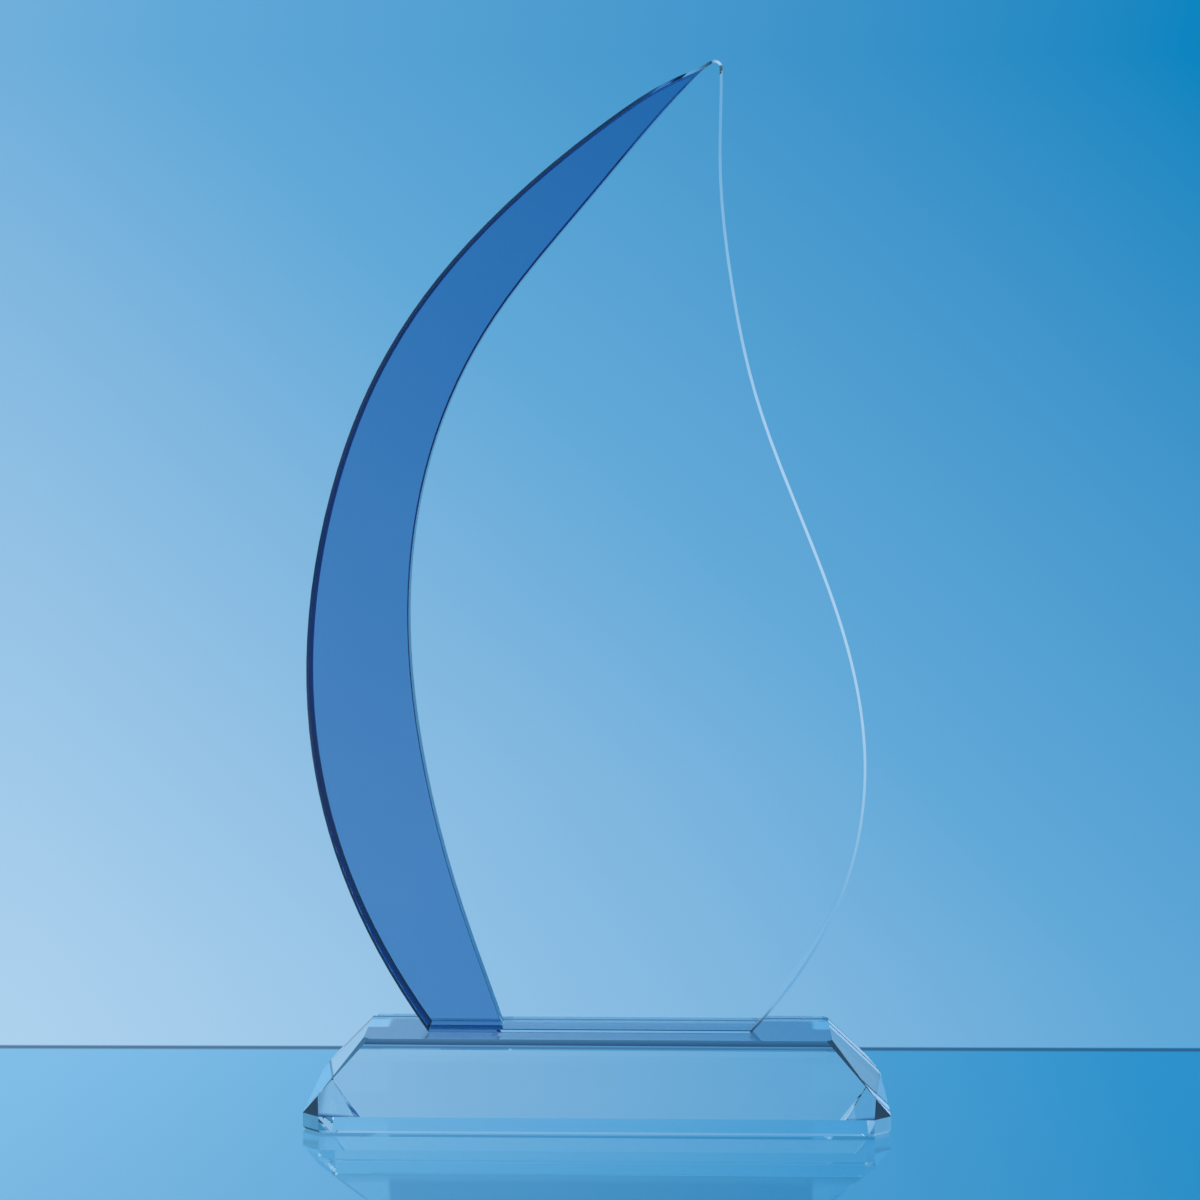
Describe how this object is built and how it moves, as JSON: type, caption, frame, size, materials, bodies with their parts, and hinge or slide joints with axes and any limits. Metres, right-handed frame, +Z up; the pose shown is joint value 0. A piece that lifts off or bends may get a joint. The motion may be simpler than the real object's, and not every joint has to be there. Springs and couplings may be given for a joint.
{
  "type": "crystal flame award",
  "caption": "Flame-shaped clear crystal panel with a cobalt crescent bonded behind its curved edge, standing on a bevelled clear crystal base.",
  "frame": {"origin": "centre of the base's underside", "axes": "+X to the viewer's right along the base's length, +Y towards the back, +Z up"},
  "size_m": [0.1413, 0.056, 0.2552],
  "materials": {
    "base_crystal": "polished optical crystal",
    "panel_crystal": "polished optical crystal",
    "cobalt_crystal": "polished cobalt-blue crystal",
    "crescent_adhesive": "clear cured adhesive",
    "foot_adhesive": "clear cured adhesive"
  },
  "bodies": {
    "root": {"crystal_base": "base_crystal", "clear_flame_panel": "panel_crystal", "cobalt_crescent": "cobalt_crystal", "crescent_bond_film": "crescent_adhesive", "foot_bond_film": "foot_adhesive"}
  },
  "joints": []
}
